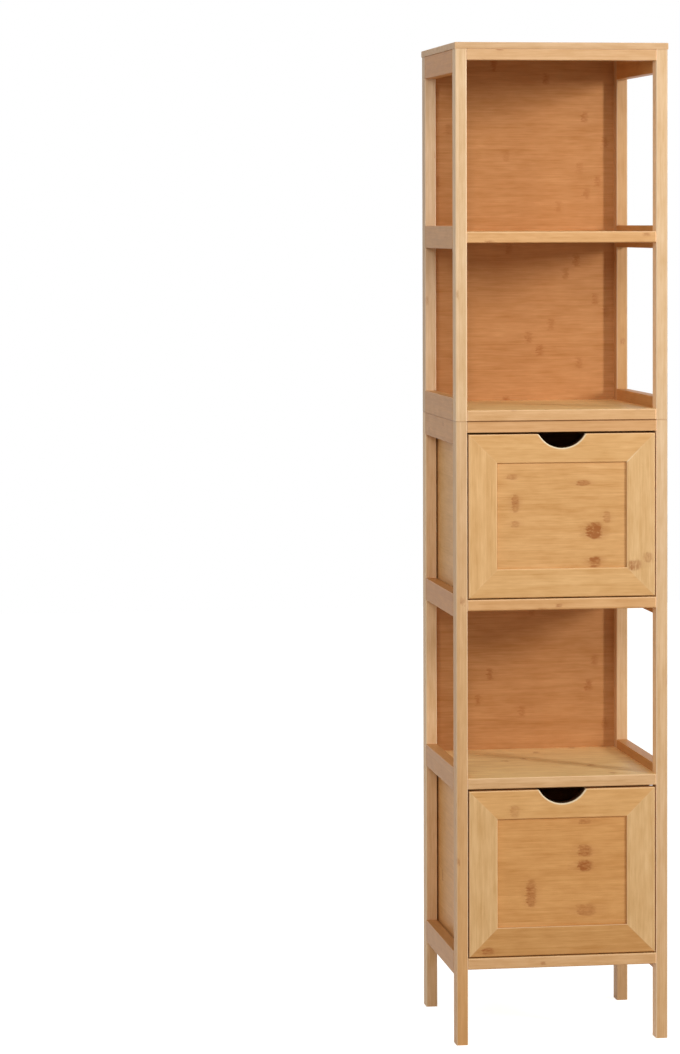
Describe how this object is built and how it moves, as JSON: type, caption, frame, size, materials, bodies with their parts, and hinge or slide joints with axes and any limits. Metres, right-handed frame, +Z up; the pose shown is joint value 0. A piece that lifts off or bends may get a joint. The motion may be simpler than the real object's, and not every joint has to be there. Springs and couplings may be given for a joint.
{
  "type": "tall bathroom cabinet",
  "caption": "Tall narrow bamboo bathroom cabinet with open shelf bays, inset drawers with framed fronts and arched finger notches, open ladder sides and straight legs.",
  "frame": {"origin": "on the floor, in the middle of the footprint", "axes": "+X to the right as seen from the front, +Y to the back, +Z up"},
  "size_m": [0.332, 0.302, 1.53],
  "materials": {
    "bamboo_post": "clear satin lacquer",
    "bamboo_rail": "clear satin lacquer",
    "bamboo_board": "clear satin lacquer",
    "bamboo_back_panel": "clear satin lacquer",
    "bamboo_drawer_frame": "clear satin lacquer",
    "bamboo_field_panel": "clear satin lacquer",
    "bamboo_drawer_box": "clear satin lacquer",
    "tongue_wood": "plain wood"
  },
  "bodies": {
    "cabinet": {"back_panel_lower_drawer": "bamboo_back_panel", "back_panel_lower_open": "bamboo_back_panel", "back_panel_middle_open": "bamboo_back_panel", "back_panel_top_open": "bamboo_back_panel", "back_panel_upper_drawer": "bamboo_back_panel", "board_tongues": "tongue_wood", "bottom_board": "bamboo_board", "drawer_shelf": "bamboo_board", "lower_back_rail": "bamboo_rail", "lower_front_rail": "bamboo_rail", "lower_post_back_left": "bamboo_post", "lower_post_back_right": "bamboo_post", "lower_post_front_left": "bamboo_post", "lower_post_front_right": "bamboo_post", "lower_shelf": "bamboo_board", "middle_shelf": "bamboo_board", "side_rail_bottom_left": "bamboo_rail", "side_rail_bottom_right": "bamboo_rail", "side_rail_drawer_shelf_left": "bamboo_rail", "side_rail_drawer_shelf_right": "bamboo_rail", "side_rail_lower_shelf_left": "bamboo_rail", "side_rail_lower_shelf_right": "bamboo_rail", "side_rail_lower_top_left": "bamboo_rail", "side_rail_lower_top_right": "bamboo_rail", "side_rail_middle_shelf_left": "bamboo_rail", "side_rail_middle_shelf_right": "bamboo_rail", "side_rail_top_left": "bamboo_rail", "side_rail_top_right": "bamboo_rail", "side_rail_upper_shelf_left": "bamboo_rail", "side_rail_upper_shelf_right": "bamboo_rail", "top_panel": "bamboo_board", "unit_keys": "tongue_wood", "upper_front_rail": "bamboo_rail", "upper_post_back_left": "bamboo_post", "upper_post_back_right": "bamboo_post", "upper_post_front_left": "bamboo_post", "upper_post_front_right": "bamboo_post", "upper_shelf": "bamboo_board"},
    "upper_drawer": {"upper_drawer_back": "bamboo_drawer_box", "upper_drawer_bottom": "bamboo_drawer_box", "upper_drawer_front_bottom": "bamboo_drawer_frame", "upper_drawer_front_left": "bamboo_drawer_frame", "upper_drawer_front_panel": "bamboo_field_panel", "upper_drawer_front_right": "bamboo_drawer_frame", "upper_drawer_front_top": "bamboo_drawer_frame", "upper_drawer_mitre_keys": "tongue_wood", "upper_drawer_side_left": "bamboo_drawer_box", "upper_drawer_side_right": "bamboo_drawer_box"},
    "lower_drawer": {"lower_drawer_back": "bamboo_drawer_box", "lower_drawer_bottom": "bamboo_drawer_box", "lower_drawer_front_bottom": "bamboo_drawer_frame", "lower_drawer_front_left": "bamboo_drawer_frame", "lower_drawer_front_panel": "bamboo_field_panel", "lower_drawer_front_right": "bamboo_drawer_frame", "lower_drawer_front_top": "bamboo_drawer_frame", "lower_drawer_mitre_keys": "tongue_wood", "lower_drawer_side_left": "bamboo_drawer_box", "lower_drawer_side_right": "bamboo_drawer_box"}
  },
  "joints": [
    {"name": "upper_drawer_slide", "type": "slide", "parent": "cabinet", "child": "upper_drawer", "axis": [0, -1, 0], "range_m": [0, 0.2]},
    {"name": "lower_drawer_slide", "type": "slide", "parent": "cabinet", "child": "lower_drawer", "axis": [0, -1, 0], "range_m": [0, 0.2]}
  ]
}
